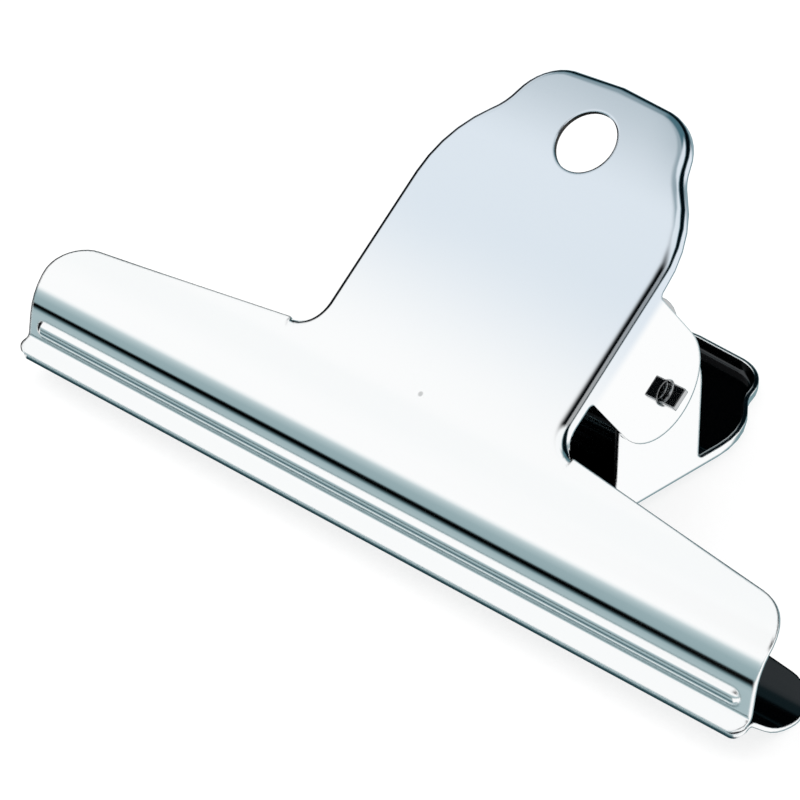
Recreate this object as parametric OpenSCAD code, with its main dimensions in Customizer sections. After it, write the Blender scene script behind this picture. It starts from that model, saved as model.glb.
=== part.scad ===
/* [Sheet] */
// Thickness of the pressed steel sheet
sheet_t = 0.7; // [0.5:0.1:1]
// Outer radius of the bend along the handle's edge
edge_r = 1.5; // [1.2:0.1:2]
// Depth of the turned flange round the handle
flange_h = 2.5; // [2.2:0.1:3.5]

/* [Handle] */
// Distance from the hanging hole to the end of the handle
head_reach = 10.2; // [9.8:0.1:13]
// Diameter of the hanging hole
hole_d = 10; // [6:0.5:10.5]
// Half width of the front handle beside the ears
waist_x = 24.2; // [22:0.1:28]
// Distance from the hanging hole to the root of the wings
root_reach = 38.2; // [36:0.1:44]
// Angle between the two handles when the jaws are shut
spread = 39.5; // [32:0.5:44]

/* [Jaw] */
// Length of the jaws
jaw_w = 145; // [120:1:160]
// Slope of the wings' upper edge, in degrees
wing_slope = 6.7; // [4:0.1:9]
// Radius of the wings' outer corners
tip_r = 7.2; // [3:0.1:8]
// Outward bend between the front handle and its wings, in degrees
wing_bend = 15; // [8:0.5:16]
// Outward bend between the back handle and its wings, in degrees
back_bend = 19; // [12:0.5:20]
// Length of the flat wing before the belly
wing_flat = 3.4; // [2:0.1:6]
// Outer radius of the belly
belly_r = 11; // [9:0.1:13]
// Turn of the belly from the wing to its foot, in degrees
belly_turn = 57; // [51:0.5:62]
// Length of the straight foot that carries the bead
foot_len = 3.3; // [3:0.1:4.5]
// Outer radius of the bend above the lip
valley_r = 0.9; // [0.8:0.1:1.4]
// Length of the gripping lip
lip_len = 2.3; // [1.8:0.1:3]
// Flare of each lip away from the other, in degrees
lip_flare = 6; // [3:0.5:9]

/* [Bead] */
// Outer radius of the pressed stiffening bead
bead_r = 1.5; // [1.3:0.1:1.7]
// Distance from the end of the bead to the end of the jaw
bead_inset = 1.8; // [1.5:0.1:4]

/* [Pivot] */
// Distance from the hanging hole to the pivot, along the handle
pivot_reach = 24.8; // [24:0.1:27]
// Diameter of the holes in the ears
pivot_d = 4; // [4:0.1:4.4]
// Half length of an ear along the handle
ear_half = 9.1; // [8.5:0.1:10]
// How far an ear reaches past the pivot
ear_past = 6.5; // [6:0.1:7.5]
// Side gap between a front ear and a back ear
ear_gap = 0.25; // [0.2:0.05:0.5]

/* [Spring] */
// Thickness of the spring strip
strip_t = 1; // [0.8:0.05:1]
// Width of the lugs that pass through the ears
lug_w = 3.4; // [3:0.1:3.4]
// How far a lug stands out of the front ear
lug_out = 2.8; // [2:0.1:3.5]
// Straight length of the web on each side of the pivot
web_half = 2.2; // [1.8:0.1:3.5]
// Length of the strip's end that lies along a handle
rest_len = 9; // [6:0.5:10]

/* [Hidden] */
$fn = 96;
arc_step = 9;

// Half gap left between the lips at the line where they meet
lip_gap = 0.02;
// Clearance between the spring strip and the handles
strip_gap = 0.05;
// How far the web that joins handle and wings reaches to each side of their seam
tie = 1;

// Angle between a wing and the plane where the jaws meet, and from there the lean of
// each handle
wing_lean = (spread - wing_bend - back_bend) / 2;
front_lean = wing_bend + wing_lean;
back_lean = back_bend + wing_lean;

// Handle outline, from the middle of the head to the root of a wing: the head's
// crown, its corner, the neck, the shoulder, the straight side and the root fillet.
// A step is [length] or [radius, turn], and a negative turn is to the right.
crown_r = 72;
crown_turn = 7.5;
corner_r = 8.6;
corner_turn = 67.5;
neck_r = 9;
neck_turn = 28;
root_r = 4.5;
shoulder_turn = 90 + neck_turn - crown_turn - corner_turn;

// Outline and profile walking: a pose is [x, y, heading]
function left(h) = [-sin(h), cos(h)];
function after(p, m) = len(m) == 1
    ? [p[0] + m[0] * cos(p[2]), p[1] + m[0] * sin(p[2]), p[2]]
    : let (s = sign(m[1]), h = p[2] + m[1],
           q = [p[0], p[1]] + s * m[0] * (left(p[2]) - left(h)))
      [q[0], q[1], h];
function walk(p, moves, i = 0) = i == len(moves)
    ? [p]
    : concat([p], walk(after(p, moves[i]), moves, i + 1));
function arc_points(p, m, d) = let (s = sign(m[1]), n = max(1, ceil(abs(m[1]) / arc_step)))
    [for (k = [0:n - 1]) [p[0], p[1]] + s * m[0] * left(p[2])
        - s * (m[0] + s * d) * left(p[2] + m[1] * k / n)];
function beside(p, d) = [p[0], p[1]] - d * left(p[2]);
function trace(poses, moves, d) = concat(
    [for (i = [0:len(moves) - 1])
        each len(moves[i]) == 1 ? [beside(poses[i], d)] : arc_points(poses[i], moves[i], d)],
    [beside(poses[len(moves)], d)]);
function reverse(v) = [for (i = [len(v) - 1:-1:0]) v[i]];
function flip(points) = [for (q = reverse(points)) [-q[0], q[1]]];

// The handle of half width hw beside its ears
head_moves = [[crown_r, -crown_turn], [corner_r, -corner_turn], [neck_r, neck_turn]];
head_start = [0, head_reach, 0];
function shoulder_start() = walk(head_start, head_moves)[3];
function shoulder_r(hw) = (hw - shoulder_start()[0]) / (1 + sin(shoulder_start()[2]));
function side_start(hw) = after(shoulder_start(), [shoulder_r(hw), -shoulder_turn]);
function handle_moves(hw) = concat(head_moves, [
    [shoulder_r(hw), -shoulder_turn],
    [side_start(hw)[1] + root_reach],
    [root_r, 90 - wing_slope]]);
function handle_poses(hw) = walk(head_start, handle_moves(hw));
function handle_root(hw) = handle_poses(hw)[6];

// Profile of a plate along the handle and down to the lip, outer face on the right
bend_r = 6;
start_reach = head_reach + 1;
root_flat = 7;
function profile_moves(bend) = [
    [start_reach + root_reach + root_flat],
    [bend_r, -bend],
    [wing_flat],
    [belly_r, belly_turn],
    [foot_len],
    [valley_r, -(belly_turn + wing_lean)],
    [valley_r, -lip_flare],
    [lip_len]];
profile_start = [start_reach, 0, 180];
function profile_poses(bend) = walk(profile_start, profile_moves(bend));
function belly_pose(bend) = profile_poses(bend)[3];
function foot_pose(bend) = profile_poses(bend)[4];
function contact_pose(bend) = profile_poses(bend)[6];
function lip_end(bend) = profile_poses(bend)[8];
function belly_c(bend) = let (p = belly_pose(bend)) [p[0], p[1]] + belly_r * left(p[2]);

// The middle plane passes through the line where the lips meet, and the pivot is on it
function meet(bend) = let (p = contact_pose(bend)) [p[0], p[1]] + (sheet_t + lip_gap) * left(p[2]);
arm = (-pivot_reach - meet(wing_bend)[0]) / cos(front_lean);
function pivot(bend) = meet(bend) + arm * [cos(bend + wing_lean), -sin(bend + wing_lean)];

// Widths across the ears and the spring, which clears the bends along the handle
back_x = waist_x - sheet_t - ear_gap;
strip_half = back_x - edge_r;

// How the clip lies: on the end of the back handle and on the back plate's belly
end_c = [head_reach - edge_r, -edge_r];
span = end_c - belly_c(back_bend);
rest_tilt = asin((belly_r - edge_r) / norm(span)) - atan2(span[1], span[0]);
rest_w = end_c * [sin(rest_tilt), cos(rest_tilt)] + edge_r;
// Points of a plate's profile as they lie, for the back plate and the front plate
function lay(q) = [
    q[0] * cos(rest_tilt) + q[1] * sin(rest_tilt),
    q[1] * cos(rest_tilt) - q[0] * sin(rest_tilt) + rest_w];
function back_lay(p) = lay([p[0], -p[1]]);
function front_lay(p) = let (q = [p[0], p[1]] - pivot(wing_bend), c = pivot(back_bend)) lay(
    [q[0] * cos(spread) - q[1] * sin(spread) + c[0], q[0] * sin(spread) + q[1] * cos(spread) - c[1]]);
function lip_corners(bend) = [beside(lip_end(bend), 0), beside(lip_end(bend), -sheet_t)];
near_y = back_lay([head_reach, -flange_h])[0];
far_y = min(concat(
    [for (p = lip_corners(wing_bend)) front_lay(p)[0]],
    [for (p = lip_corners(back_bend)) back_lay(p)[0]]));
mid_y = (near_y + far_y) / 2;

steel = "lightgray";
bright = "silver";

// Strip of thickness t on the left of a walked line
module strip(start, moves, t) {
    poses = walk(start, moves);
    polygon(concat(trace(poses, moves, 0), reverse(trace(poses, moves, -t))));
}

// Section of the turned edge for a flange of depth h, as [distance in, height]: the
// outside of the bend, the flange and the inside of the bend
rim_steps = 4;
function rim_section(h) = concat(
    [for (k = [0:rim_steps]) edge_r * [1 - sin(90 * k / rim_steps), cos(90 * k / rim_steps) - 1]],
    [[0, -h], [sheet_t, -h]],
    [for (k = [rim_steps:-1:0])
        [edge_r, -edge_r] + (edge_r - sheet_t) * [-sin(90 * k / rim_steps), cos(90 * k / rim_steps)]]);

// The flange runs out along the last part of the root fillet
fade_steps = 4;
function rim_depth(i, n) =
    flange_h - (flange_h - edge_r - 0.2) * max(0, fade_steps - (n - 1 - i)) / fade_steps;

// The dished handle: its flat face and the turned edge round it, as one ring of points
// at each step of the outline
module handle_dish(hw) {
    edge = trace(handle_poses(hw), handle_moves(hw), 0);
    seat = trace(handle_poses(hw), handle_moves(hw), 1);
    n = len(edge);
    right = [for (i = [0:n - 1]) [for (q = rim_section(rim_depth(i, n)))
        [each edge[i] + q[0] * (seat[i] - edge[i]), q[1]]]];
    rings = concat([for (i = [n - 1:-1:1]) [for (q = right[i]) [-q[0], q[1], q[2]]]], right);
    m = len(rings[0]);
    last = (len(rings) - 1) * m;
    polyhedron(
        points = [for (ring = rings) each ring],
        faces = concat(
            [for (i = [0:len(rings) - 2], j = [0:m - 2])
                [i * m + j, i * m + j + 1, (i + 1) * m + j + 1, (i + 1) * m + j]],
            [[for (j = [m - 1:-1:0]) j],
             [for (j = [0:m - 1]) last + j],
             [for (i = [0:len(rings) - 1]) i * m],
             [for (i = [len(rings) - 1:-1:0]) i * m + m - 1],
             [0, last, last + m - 1, m - 1]]));
}

// Plan of the wings and jaw: root fillets, sloped upper edges, rounded tips and the
// lip's small corners
lip_corner_r = 1.8;
relief = 0.02;
web_in = 0.1;
function wing_moves(hw) = let (root = handle_root(hw)) [
    [(jaw_w / 2 - root[0] - tip_r * (1 - sin(wing_slope))) / cos(wing_slope)],
    [tip_r, wing_slope - 90]];
function tip_pose(hw) = walk(handle_root(hw), wing_moves(hw))[2];
function plan_moves(hw, bend) = concat(wing_moves(hw), [
    [tip_pose(hw)[1] - lip_end(bend)[0] - lip_corner_r],
    [lip_corner_r, -90]]);
module jaw_plan(hw, bend) {
    moves = plan_moves(hw, bend);
    edge = trace(walk(after(handle_root(hw), [relief]), moves), moves, 0);
    wall = beside(handle_root(hw), edge_r);
    side = concat([wall, wall + [relief, 0]], edge);
    polygon(concat(side, flip(side)));
}

// The web of sheet that carries the handle's face into the wings
module root_web(hw) {
    wall = beside(handle_root(hw), edge_r);
    translate([-wall[0] + tie, wall[1] - tie, -sheet_t + web_in])
        cube([2 * (wall[0] - tie), 2 * tie, sheet_t - 2 * web_in]);
}

// Bead along the foot of the belly: a capsule on the sheet's inner face
bead_half = jaw_w / 2 - bead_inset - bead_r;
bead_steps = 5;
module at_bead(bend) {
    foot = foot_pose(bend);
    q = beside(after(foot, [foot_len / 2]), -sheet_t);
    translate([0, q[0], q[1]]) rotate([foot[2], 0, 0]) children();
}

module bead_capsule(r) {
    end = [for (k = [0:bead_steps])
        [r * cos(90 * k / bead_steps), bead_half + r * sin(90 * k / bead_steps)]];
    rotate([0, 90, 0]) rotate_extrude()
        polygon(concat(end, reverse([for (q = end) [q[0], -q[1]]])));
}

// The side of the foot that faces the paper
module paper_side() {
    translate([-jaw_w / 2, -2 * bead_r, 0]) cube([jaw_w, 4 * bead_r, 2 * bead_r]);
}

// Sheet with wings, belly, bead and lip
module pressed_sheet(hw, bend) {
    difference() {
        union() {
            intersection() {
                rotate([90, 0, 90]) translate([0, 0, -jaw_w / 2])
                    linear_extrude(jaw_w) strip(profile_start, profile_moves(bend), sheet_t);
                translate([0, 0, -jaw_w / 4]) linear_extrude(jaw_w / 2) jaw_plan(hw, bend);
            }
            at_bead(bend) difference() {
                bead_capsule(bead_r);
                paper_side();
            }
        }
        at_bead(bend) bead_capsule(bead_r - sheet_t);
    }
}

// An ear: parallel sides, a round end and small fillets at the flange
ear_r = ear_half;
fillet_r = 1;
module ear_outline(bend) {
    hole = pivot(bend);
    round_w = hole[1] - ear_past + ear_r;
    translate([hole[0], round_w]) circle(r = ear_r);
    translate([hole[0] - ear_half, round_w])
        square([2 * ear_half, -edge_r - round_w]);
    for (s = [-1, 1])
        translate([hole[0] + s * (ear_half + fillet_r), -flange_h - fillet_r]) difference() {
            translate([-fillet_r / 2 - s * fillet_r / 2, 0]) square([fillet_r, fillet_r + 0.5]);
            circle(r = fillet_r);
        }
}

module ears(hw, bend) {
    for (x = [-hw, hw - sheet_t])
        translate([x, 0, 0]) rotate([90, 0, 90]) linear_extrude(sheet_t) ear_outline(bend);
}

// One plate of the clip, with the outer face of its handle at zero
module plate(hw, bend) {
    difference() {
        union() {
            pressed_sheet(hw, bend);
            handle_dish(hw);
            root_web(hw);
            ears(hw, bend);
        }
        translate([0, 0, -sheet_t - 1]) cylinder(d = hole_d, h = sheet_t + 2);
        translate([0, pivot(bend)[0], pivot(bend)[1]]) rotate([0, 90, 0])
            cylinder(d = pivot_d, h = 2 * hw + 2, center = true);
    }
}

// Strip of the spring, walked from the pivot both ways: the web lies along the front
// handle, one end rolls up to the front handle and the other down to the back one
function room(bend) = -pivot(bend)[1] - sheet_t - strip_gap;
mid_t = strip_t / 2;
lap = 0.5;
up_r = (room(wing_bend) + mid_t) / 2;
down_r = (room(back_bend) - web_half * sin(spread) + mid_t * cos(spread)) / (1 + cos(spread));
web_start = [-lap, -mid_t, 0];
up_moves = [[web_half + lap], [up_r, 180], [web_half - 1]];
down_moves = [[web_half + lap], [down_r, 180 - spread], [rest_len]];

module lugs() {
    cube([2 * (waist_x + lug_out), lug_w, strip_t], center = true);
}

// Placing: from a plate's own frame to the pivot, then to the lying clip
module at_pivot(bend) {
    translate([0, -pivot(bend)[0], -pivot(bend)[1]]) children();
}

module lying() {
    translate([0, -mid_y, rest_w]) rotate([-rest_tilt, 0, 0])
        translate([0, pivot(back_bend)[0], -pivot(back_bend)[1]]) children();
}

module front_plate() {
    color(bright) lying() rotate([spread, 0, 0]) at_pivot(wing_bend) plate(waist_x, wing_bend);
}

module back_plate() {
    color(steel) lying() mirror([0, 0, 1]) at_pivot(back_bend) plate(back_x, back_bend);
}

module spring() {
    color("gray") lying() rotate([spread, 0, 0]) {
        rotate([90, 0, 90]) translate([0, 0, -strip_half]) {
            linear_extrude(2 * strip_half) strip(web_start, up_moves, strip_t);
            linear_extrude(2 * strip_half) rotate(180) strip(web_start, down_moves, strip_t);
        }
        lugs();
    }
}

back_plate();
front_plate();
spring();
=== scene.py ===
import bmesh
import bpy
import math
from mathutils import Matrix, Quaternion, Vector


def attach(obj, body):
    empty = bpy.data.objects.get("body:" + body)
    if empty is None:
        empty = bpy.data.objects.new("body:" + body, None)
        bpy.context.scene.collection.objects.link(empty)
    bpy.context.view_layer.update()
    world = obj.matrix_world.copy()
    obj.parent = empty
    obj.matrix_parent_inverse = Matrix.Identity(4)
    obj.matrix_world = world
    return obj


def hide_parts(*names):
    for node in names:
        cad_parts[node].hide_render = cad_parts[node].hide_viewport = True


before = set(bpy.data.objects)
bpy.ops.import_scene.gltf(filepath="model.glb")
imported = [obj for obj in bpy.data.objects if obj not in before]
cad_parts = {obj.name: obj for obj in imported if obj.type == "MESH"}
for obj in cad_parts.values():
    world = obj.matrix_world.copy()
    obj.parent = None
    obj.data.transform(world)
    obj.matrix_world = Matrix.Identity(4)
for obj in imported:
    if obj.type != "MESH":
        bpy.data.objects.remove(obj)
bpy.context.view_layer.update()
print("frame loaded")


# Shader helpers: a wire is one socket, and sums on wires add Math nodes
class Wire:
    def __init__(self, tree, socket):
        self.tree, self.socket = tree, socket

    def math(self, operation, first, second=None):
        return self.tree.add("ShaderNodeMath", {"operation": operation}, {0: first, 1: second})

    def size(self): return self.math("ABSOLUTE", self)

    def __add__(self, other): return self.math("ADD", self, other)
    def __radd__(self, other): return self.math("ADD", other, self)
    def __sub__(self, other): return self.math("SUBTRACT", self, other)
    def __rsub__(self, other): return self.math("SUBTRACT", other, self)
    def __mul__(self, other): return self.math("MULTIPLY", self, other)
    def __truediv__(self, other): return self.math("DIVIDE", self, other)

    def smooth(self, low, high):  # 0 below low, 1 above high
        return self.tree.add("ShaderNodeMapRange", {"interpolation_type": "SMOOTHSTEP"},
                             {"Value": self, "From Min": low, "From Max": high})


class Shader:
    def __init__(self, tree):
        self.tree = tree
        tree.nodes.clear()

    def add(self, kind, settings=None, inputs=None, output=0):  # a node, its settings, its sockets
        node = self.tree.nodes.new(kind)
        for name, value in (settings or {}).items():
            if name == "stops":
                self.setStops(node.color_ramp, value)
            else:
                setattr(node, name, value)
        for name, value in (inputs or {}).items():
            if isinstance(value, Wire):
                self.tree.links.new(value.socket, node.inputs[name])
            elif value is not None:
                node.inputs[name].default_value = value
        return Wire(self, node.outputs[output]) if len(node.outputs) else None

    def split(self, vector):  # the three numbers of a place or direction
        node = self.add("ShaderNodeSeparateXYZ", inputs={0: vector}).socket.node
        return [Wire(self, node.outputs[i]) for i in range(3)]

    def mix(self, factor, first, second):
        return self.add("ShaderNodeMix", {"data_type": "RGBA"},
                        {0: factor, 6: first, 7: second}, output=2)

    def setStops(self, ramp, stops):
        while len(ramp.elements) > 1:
            ramp.elements.remove(ramp.elements[-1])
        for index, (place, color) in enumerate(stops):
            stop = ramp.elements[0] if index == 0 else ramp.elements.new(place)
            stop.position, stop.color = place, (*color, 1)

    def finish(self, surface, kind="ShaderNodeOutputMaterial"):
        self.add(kind, inputs={"Surface": surface})


def newMaterial(name):
    material = bpy.data.materials.new(name)
    material.use_nodes = True
    return material, Shader(material.node_tree)


# Camera: the photograph's angle, from the right of the jaws and above
cameraSetup = {
    "azimuth": 44.886,      # degrees round the clip, 0 looks along +Y
    "elevation": 32.748,    # degrees above the table
    "roll": -1.35,          # degrees, the picture leans a little
    "distance": 0.634145,   # metres from the point looked at
    "lookAt": (-0.016917, -0.010764, 0.006704),
    "sensor": 36,           # mm
    "lens": 190.29,         # mm
    "sees": (0.01, 20),     # metres, near and far
}


def makeCamera(setup):
    azimuth, elevation = math.radians(setup["azimuth"]), math.radians(setup["elevation"])
    back = Vector((math.sin(azimuth) * math.cos(elevation),
                   -math.cos(azimuth) * math.cos(elevation), math.sin(elevation)))
    data = bpy.data.cameras.new("camera")
    data.sensor_width, data.lens = setup["sensor"], setup["lens"]
    data.clip_start, data.clip_end = setup["sees"]
    camera = bpy.data.objects.new("camera", data)
    bpy.context.scene.collection.objects.link(camera)
    camera.location = Vector(setup["lookAt"]) + back * setup["distance"]
    camera.rotation_mode = "QUATERNION"
    lean = Quaternion((0, 0, 1), math.radians(setup["roll"]))
    camera.rotation_quaternion = (-back).to_track_quat("-Z", "Y") @ lean
    bpy.context.scene.camera = camera


# Studio: a pale floor, one soft lamp, and a bright tent that the plated steel reflects.
# A tent level is (degrees up from the front horizon over the clip to the back, brightness).
# The pairs below it run from where a part of the tent starts to show to where it is full,
# along the way that a reflection points.
studio = {
    "tent": ((-180, .10), (-165, .5), (-150, .3), (-125, .3), (-105, .06), (-60, .04),
             (-40, .14), (-30, .38), (-24, .48), (-15, .50), (-11, .44), (-9.5, .2), (-8, .0),
             (-3, .0), (-1.5, .36), (0.5, .40), (10, .42), (16, .50), (19, .56), (22, .66),
             (25, .86), (29, .99), (60, .99), (114, .95), (122, .35), (130, .02), (135, .003),
             (165, .003), (180, .08)),
    "tint": (1.35, 1.0, 0.93),       # powers that turn its dim parts a cool grey
    "lineAt": -5.0,                  # degrees, the dark line of the horizon
    "lineWidth": (4.0, 9.0),
    "lineFades": (-0.55, 0.1),       # towards the jaw's right end
    "lineFaded": 0.6,
    "lineColor": (0.40, 0.43, 0.43, 1),
    "tableRight": (0.0, 0.3),        # white card round the clip, at both sides
    "tableLeft": (0.70, 0.78),
    "tableUnder": (-0.1, 0.05),
    "tableColor": (1, 1, 1, 1),
    "cameraSide": (-0.126, 0.860, 0.494),   # the dark band behind the camera is across this
    "cameraWidth": (0.10, 0.34),     # half its width, and its soft edge
    "cameraStart": (-0.62, 0.42),
    "cameraEnd": (0.02, 0.22),       # how high above the table it ends
    "cameraPales": (0.70, 0.76),     # where it is paler, far to the right
    "cameraPaler": 0.4,
    "cameraColor": (0.002, 0.003, 0.004, 1),
    "leftDark": (-0.80, -0.90),      # a dark strip at the far left, for the thin outlines
    "leftColor": (0.004, 0.005, 0.006, 1),
    "floorColor": (0.30, 0.30, 0.30, 1),
    "floorGlow": 0.74,               # what the camera sees besides the floor's own light
    "floorSize": 3.0,
    "floorLow": (0, 0, -0.00005),
    "lampPower": 3.0,
    "lampSize": 0.9,
    "lampPlace": (-0.35, -0.25, 0.9),
}
white = (1, 1, 1, 1)

# A dim card over the handle, seen only in reflections: the pairs are metres on the card
dimCard = {
    "place": (-0.02, 0.01, 0.09),
    "size": (0.10, 0.10),
    "dims": 0.34,                    # how much of the tent it hides
    "rises": (-0.022, -0.004),       # from clear to dim, towards the back
    "falls": (0.04, 0.05),
    "darkens": (0.0, 0.012),         # where it hides more
    "darker": 0.4,
    "sideDarkens": (-0.002, 0.016),
    "sideDarker": 0.3,
    "sideFalls": 0.7,                # the share of its half width where its sides fade
    "color": (0.09, 0.19, 0.22, 1),
}


def makeCard(name, setup):
    bpy.ops.mesh.primitive_plane_add(size=1, location=setup["place"])
    card = bpy.context.object
    card.name = name
    card.scale = (*setup["size"], 1)
    bpy.ops.object.transform_apply(location=False, rotation=False, scale=True)
    material, shader = newMaterial(name)
    x, y, z = shader.split(shader.add("ShaderNodeTexCoord", output="Object"))
    half = setup["size"][0] / 2
    veil = (setup["dims"] + y.smooth(*setup["darkens"]) * setup["darker"]
            + x.smooth(*setup["sideDarkens"]) * setup["sideDarker"])
    veil = veil * y.smooth(*setup["rises"]) * (1.0 - y.smooth(*setup["falls"]))
    veil = veil * (1.0 - x.size().smooth(half * setup["sideFalls"], half))
    clear = shader.add("ShaderNodeBsdfTransparent")
    dark = shader.add("ShaderNodeEmission", inputs={"Color": setup["color"]})
    shader.finish(shader.add("ShaderNodeMixShader", inputs={0: veil, 1: clear, 2: dark}))
    card.data.materials.append(material)
    card.visible_camera = card.visible_diffuse = card.visible_shadow = False


def makeTent(setup):
    world = bpy.data.worlds.new("tent")
    world.use_nodes = True
    bpy.context.scene.world = world
    sky = Shader(world.node_tree)
    x, y, z = sky.split(sky.add("ShaderNodeTexCoord", output="Generated"))
    turn = x.math("ARCTAN2", z, y * -1.0) / (2 * math.pi) + 0.5   # 0.5 is the front horizon
    stops = [(angle / 360 + 0.5, tuple(level ** power for power in setup["tint"]))
             for angle, level in setup["tent"]]
    glow = sky.add("ShaderNodeValToRGB", {"stops": stops}, {"Fac": turn})

    fromLine = (turn * 360.0 - (180.0 + setup["lineAt"])).size()
    nearLine = 1.0 - fromLine.smooth(*setup["lineWidth"])
    faded = nearLine * x.smooth(*setup["lineFades"]) * setup["lineFaded"]
    glow = sky.mix(faded, glow, setup["lineColor"])

    sides = x.smooth(*setup["tableRight"]) + (x * -1.0).smooth(*setup["tableLeft"])
    glow = sky.mix(sides * (1.0 - z.smooth(*setup["tableUnder"])), glow, setup["tableColor"])

    across = (x * setup["cameraSide"][0] + y * setup["cameraSide"][1]
              + z * setup["cameraSide"][2])
    band = 1.0 - across.size().smooth(*setup["cameraWidth"])
    band = band * x.smooth(*setup["cameraStart"]) * z.smooth(*setup["cameraEnd"])
    band = band * (1.0 - x.smooth(*setup["cameraPales"]) * setup["cameraPaler"])
    glow = sky.mix(band, glow, setup["cameraColor"])

    left = 1.0 - x.smooth(setup["leftDark"][1], setup["leftDark"][0])
    glow = sky.mix(left, glow, setup["leftColor"])
    glossy = sky.add("ShaderNodeLightPath", output="Is Glossy Ray")
    background = sky.add("ShaderNodeBackground",
                         inputs={"Color": sky.mix(glossy, white, glow), "Strength": 1.0})
    sky.finish(background, "ShaderNodeOutputWorld")


def makeFloor(setup):
    bpy.ops.object.select_all(action="DESELECT")
    bpy.ops.mesh.primitive_plane_add(size=setup["floorSize"], location=setup["floorLow"])
    floor = bpy.context.object
    floor.name = "floor"
    paper, shader = newMaterial("paleFloor")
    seen = shader.add("ShaderNodeLightPath", output="Is Camera Ray")
    matte = shader.add("ShaderNodeBsdfDiffuse", inputs={"Color": setup["floorColor"]})
    lift = shader.add("ShaderNodeEmission",
                      inputs={"Color": white, "Strength": seen * setup["floorGlow"]})
    shader.finish(shader.add("ShaderNodeAddShader", inputs={0: matte, 1: lift}))
    floor.data.materials.append(paper)
    floor.visible_glossy = False    # the plated steel reflects the tent instead


def makeLamp(setup):
    data = bpy.data.lights.new("softLamp", "AREA")
    data.energy, data.size = setup["lampPower"], setup["lampSize"]
    lamp = bpy.data.objects.new("softLamp", data)
    bpy.context.scene.collection.objects.link(lamp)
    lamp.location = setup["lampPlace"]
    lamp.rotation_mode = "QUATERNION"
    lamp.rotation_quaternion = Vector(setup["lampPlace"]).to_track_quat("Z", "Y")
    lamp.visible_glossy = False


makeCamera(cameraSetup)
makeTent(studio)
makeFloor(studio)
makeCard("dimCard", dimCard)
makeLamp(studio)
bpy.context.scene.view_settings.view_transform = "Standard"
print("camera and studio ready")


# Plated steel. Each kind has its color and roughness, the height of its waves, and the
# radius of its rounded edges in metres. The inner sides get a darker colour, a painted
# shade for where the two plates shade each other.
plating = {
    "frontSteel": {"color": (0.975, 0.982, 0.985), "roughness": 0.025, "waves": 0.010,
                   "edge": 0.0007, "hasPaintedReflection": True},
    "backSteel": {"color": (0.965, 0.975, 0.98), "roughness": 0.04, "waves": 0.012,
                  "edge": 0.0007},
    "innerFrontPaintedShade": {"color": (0.22, 0.23, 0.24), "roughness": 0.12, "waves": 0.02,
                   "edge": 0.0004},
    "innerBackPaintedShade": {"color": (0.05, 0.052, 0.055), "roughness": 0.10, "waves": 0.02,
                  "edge": 0.0004},
    "springSteel": {"color": (0.50, 0.51, 0.52), "roughness": 0.07, "waves": 0.02,
                    "edge": 0.0003},
}

# What all of it shares. A noise is (scale, detail), and a pair is where a mark begins to
# show in its noise and where it is full.
wear = {
    "scratchStretch": (60, 900, 900),   # scratches run along the jaw
    "scratchNoise": (1.0, 3.0),
    "scratchDulls": (0.5, 0.8),
    "scratchDull": 0.03,
    "scratchCuts": (0.55, 0.75),
    "scratchDepth": 0.0006,
    "waveNoise": (35.0, 1.0),
    "speckCells": 110.0,
    "speckSize": (0.035, 0.065),
    "speckNoise": (80.0, 0.0),          # chooses the few cells that have a speck
    "speckChosen": (0.54, 0.60),
    "speckTone": 0.55,
    "speckColor": (0.33, 0.34, 0.34, 1),
    "speckDull": 0.2,
    "speckDepth": 0.004,
    "smudgeNoise": (22.0, 4.0),
    "smudgeShows": (0.45, 0.75),
    "smudgeDull": 0.025,
    "bumpStrength": 0.5,
    "bumpDistance": 0.001,
    "edgeSamples": 8,
}

# A painted reflection: a cool grey tone over the front handle's flat, standing in for the reflection
# of dim things above it, in metres along its rise
paintedHandleReflection = {
    "rise": (0.7919, 0.6107),        # the handle's rise in y and z
    "shows": (-0.006, 0.022),
    "flat": (0.0262, 0.0285),        # the handle's own level, as the ears lie below it
    "smudgeAt": 0.3,
    "smudgeMoves": 0.002,
    "color": (0.73, 0.80, 0.87, 1),
}


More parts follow.
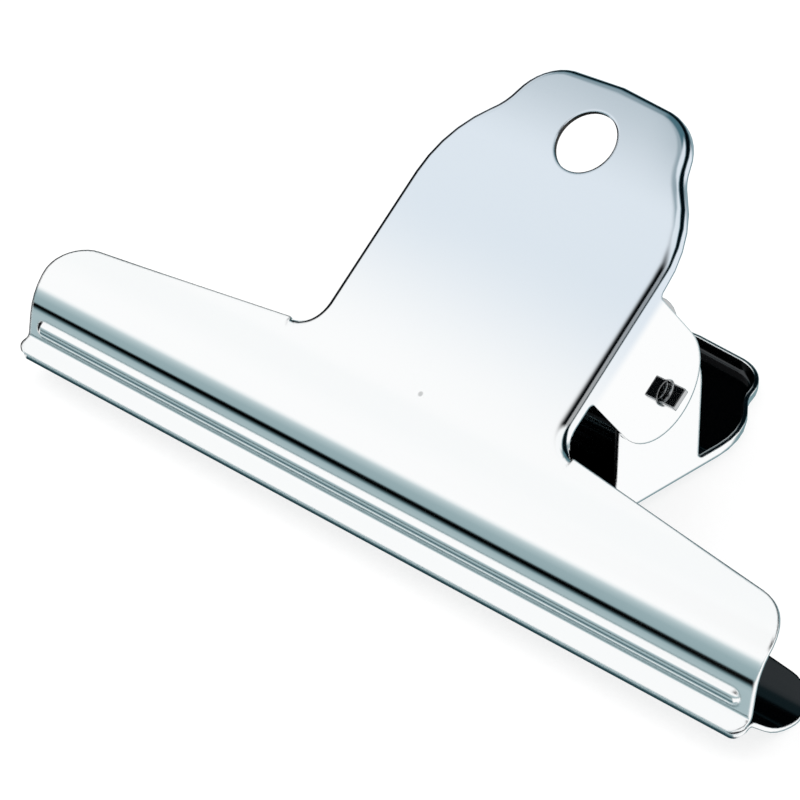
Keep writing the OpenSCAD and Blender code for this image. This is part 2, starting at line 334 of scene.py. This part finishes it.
def platedSteel(name, setup):
    material, shader = newMaterial(name)
    place = shader.add("ShaderNodeTexCoord", output="Object")

    def noise(at, kind):
        scale, detail = wear[kind]
        return shader.add("ShaderNodeTexNoise",
                          inputs={"Vector": at, "Scale": scale, "Detail": detail})

    stretched = shader.add("ShaderNodeMapping",
                           inputs={"Vector": place, "Scale": wear["scratchStretch"]})
    scratch = noise(stretched, "scratchNoise")
    cells = shader.add("ShaderNodeTexVoronoi",
                       inputs={"Vector": place, "Scale": wear["speckCells"]})
    speck = ((1.0 - cells.smooth(*wear["speckSize"]))
             * noise(place, "speckNoise").smooth(*wear["speckChosen"]))
    smudge = noise(place, "smudgeNoise").smooth(*wear["smudgeShows"])

    tone = shader.mix(speck * wear["speckTone"], (*setup["color"], 1), wear["speckColor"])
    # painted reflection: cool grey painted over the front handle's flat, fading in along its rise
    if "hasPaintedReflection" in setup:
        x, back, up = shader.split(place)
        rise = (back * paintedHandleReflection["rise"][0] + up * paintedHandleReflection["rise"][1]
                + (smudge - paintedHandleReflection["smudgeAt"]) * paintedHandleReflection["smudgeMoves"])
        flat = (up * paintedHandleReflection["rise"][0] - back * paintedHandleReflection["rise"][1]).smooth(*paintedHandleReflection["flat"])
        tone = shader.mix(rise.smooth(*paintedHandleReflection["shows"]) * flat, tone, paintedHandleReflection["color"])
    roughness = (setup["roughness"] + scratch.smooth(*wear["scratchDulls"]) * wear["scratchDull"]
                 + smudge * wear["smudgeDull"] + speck * wear["speckDull"])
    height = (noise(place, "waveNoise") * setup["waves"]
              + scratch.smooth(*wear["scratchCuts"]) * wear["scratchDepth"]
              - speck * wear["speckDepth"])
    rounded = shader.add("ShaderNodeBevel", {"samples": wear["edgeSamples"]},
                         {"Radius": setup["edge"]})
    bump = shader.add("ShaderNodeBump", inputs={
        "Strength": wear["bumpStrength"], "Distance": wear["bumpDistance"],
        "Height": height, "Normal": rounded})
    shader.finish(shader.add("ShaderNodeBsdfPrincipled", inputs={
        "Base Color": tone, "Metallic": 1.0, "Roughness": roughness, "Normal": bump}))
    return material


# The punched walls of the hanging holes, near black with a fine grain
punched = {
    "grain": 2500.0,
    "detail": 2.0,
    "shows": (0.4, 0.7),
    "dark": (0.012, 0.013, 0.014, 1),
    "pale": (0.05, 0.045, 0.038, 1),
    "metallic": 0.6,
    "roughness": 0.35,
    "grainDulls": 0.2,
}


def punchedWall(name, setup):
    material, shader = newMaterial(name)
    place = shader.add("ShaderNodeTexCoord", output="Object")
    grain = shader.add("ShaderNodeTexNoise", inputs={
        "Vector": place, "Scale": setup["grain"], "Detail": setup["detail"]})
    tone = shader.mix(grain.smooth(*setup["shows"]), setup["dark"], setup["pale"])
    shader.finish(shader.add("ShaderNodeBsdfPrincipled", inputs={
        "Base Color": tone, "Metallic": setup["metallic"],
        "Roughness": setup["roughness"] + grain * setup["grainDulls"]}))
    return material


punchedEdge = punchedWall("punchedEdge", punched)
steels = {name: platedSteel(name, setup) for name, setup in plating.items()}


# Each piece starts from its solid's mesh. A plate has its hole's centre and the way that
# its handle faces.
pieces = {
    "front_plate": {
        "name": "frontPlate", "body": "front_body", "slot": "front_steel",
        "steel": "frontSteel", "inner": "innerFrontPaintedShade",
        "hole": Vector((0, 0.0119905, 0.0477052)),
        "faces": Vector((0, -0.610652, 0.791899)),
        "bead": {
            "faces": Vector((0, -0.986, 0.167)),   # the way that the jaw's foot faces
            "ahead": -0.033,        # the bead lies ahead of this y
            "height": 0.0008,
            "kept": 0.75,           # the share of its height that is kept
            "moves": 0.0005,        # how far its crest moves towards the lip
            "reach": 0.0015,        # half its width
            "starts": 0.00002,      # above the foot
        }},
    "back_plate": {
        "name": "backPlate", "body": "back_body", "slot": "back_steel",
        "steel": "backSteel", "inner": "innerBackPaintedShade",
        "hole": Vector((0, 0.0283278, 0.0006335)),
        "faces": Vector((0, -0.0325153, -0.999471))},
    "spring": {
        "name": "rolledSpring", "body": "back_body", "slot": "spring_steel",
        "steel": "springSteel", "bevel": 0.00015, "bevelSteps": 3},
}
sheetHalf = 0.00035       # half the sheet's thickness
weldGap = 0.000004        # corners nearer than this are one
wallReach = 0.00505       # a hanging hole's wall is within this of its axis
levelFace = 0.9995        # faces this well in line with the handle belong to its flat
innerFace = 0.9999
uprightFace = 0.1
crease = math.radians(40)
evenWeight = 60
wallSlot, innerSlot = 1, 2  # material slots, after the plate's own steel


def pickFaces(mesh, chosen):
    bpy.ops.mesh.select_mode(type="FACE")
    bpy.ops.mesh.select_all(action="DESELECT")
    for face in bmesh.from_edit_mesh(mesh).faces:
        face.select_set(chosen(face))


def refillFlat(mesh, setup):  # the handle's flat is cut out and filled again as clean faces
    hole, faces = setup["hole"], setup["faces"]
    for level in (sheetHalf, -sheetHalf):
        def onLevel(corners):
            return all(abs((corner.co - hole).dot(faces) - level) < weldGap for corner in corners)

        pickFaces(mesh, lambda face: abs(face.normal.dot(faces)) > levelFace and onLevel(face.verts))
        bpy.ops.mesh.delete(type="FACE")
        bpy.ops.mesh.select_mode(type="EDGE")
        bpy.ops.mesh.select_all(action="DESELECT")
        for edge in bmesh.from_edit_mesh(mesh).edges:
            edge.select_set(len(edge.link_faces) < 2 and onLevel(edge.verts))
        bpy.ops.mesh.fill(use_beauty=False)
    bpy.ops.mesh.select_mode(type="FACE")
    bpy.ops.mesh.select_all(action="SELECT")
    bpy.ops.mesh.normals_make_consistent(inside=False)


def softenBead(mesh, bead):  # a lower bead, fuller towards the lip
    faces = bead["faces"]
    down = Vector((0, -faces.z, faces.y))
    corners = [corner for corner in bmesh.from_edit_mesh(mesh).verts
               if corner.co.y < bead["ahead"]]
    crest = max(corners, key=lambda corner: corner.co.dot(faces)).co.copy()
    foot = crest.dot(faces) - bead["height"]
    for corner in corners:
        height = corner.co.dot(faces) - foot
        if height > bead["starts"] and abs((corner.co - crest).dot(down)) < bead["reach"]:
            corner.co -= faces * height * (1 - bead["kept"])
            corner.co += down * bead["moves"] * height / bead["height"]


def finishPlate(piece, setup):  # dark walls in the hole, and a darker inner side
    hole, faces = setup["hole"], setup["faces"]
    piece.data.materials.append(punchedEdge)
    piece.data.materials.append(steels[setup["inner"]])
    for face in piece.data.polygons:
        away = face.center - hole
        fromAxis = (away - faces * away.dot(faces)).length
        if fromAxis < wallReach and abs(face.normal.dot(faces)) < uprightFace:
            face.material_index = wallSlot

    # painted shade: the inner faces take the darker inner steel, for the shade between the plates
    def inner(face):
        level = (face.calc_center_median() - hole).dot(faces) + sheetHalf
        return face.normal.dot(faces) < -innerFace and abs(level) < weldGap

    piece.active_material_index = innerSlot
    bpy.ops.object.mode_set(mode="EDIT")
    pickFaces(piece.data, inner)
    bpy.ops.mesh.faces_select_linked_flat(sharpness=crease)
    bpy.ops.object.material_slot_assign()
    bpy.ops.object.mode_set(mode="OBJECT")


def makePiece(node, setup):
    bpy.ops.object.select_all(action="DESELECT")
    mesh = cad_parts[node].data.copy()
    piece = bpy.data.objects.new(setup["name"], mesh)
    bpy.context.scene.collection.objects.link(piece)
    bpy.context.view_layer.objects.active = piece
    piece.select_set(True)
    if mesh.has_custom_normals:
        bpy.ops.mesh.customdata_custom_splitnormals_clear()
    bpy.ops.object.mode_set(mode="EDIT")
    bpy.ops.mesh.select_all(action="SELECT")
    bpy.ops.mesh.remove_doubles(threshold=weldGap)
    if "hole" in setup:
        refillFlat(mesh, setup)
    if "bead" in setup:
        softenBead(mesh, setup["bead"])
    bpy.ops.object.mode_set(mode="OBJECT")
    bpy.ops.object.shade_smooth_by_angle(angle=crease)
    weights = piece.modifiers.new("evenShading", "WEIGHTED_NORMAL")
    weights.keep_sharp, weights.weight = True, evenWeight
    bpy.ops.object.modifier_apply(modifier="evenShading")
    if "bevel" in setup:
        rounding = piece.modifiers.new("rounding", "BEVEL")
        rounding.width, rounding.segments = setup["bevel"], setup["bevelSteps"]
        rounding.angle_limit = crease
        bpy.ops.object.modifier_apply(modifier="rounding")
    piece.data.materials.clear()
    piece.data.materials.append(steels[setup["steel"]])
    if "hole" in setup:
        finishPlate(piece, setup)
    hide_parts(node)
    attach(piece, setup["body"])
    print(setup["name"], "made,", len(piece.data.polygons), "faces")


for nodeName, pieceSetup in pieces.items():
    makePiece(nodeName, pieceSetup)
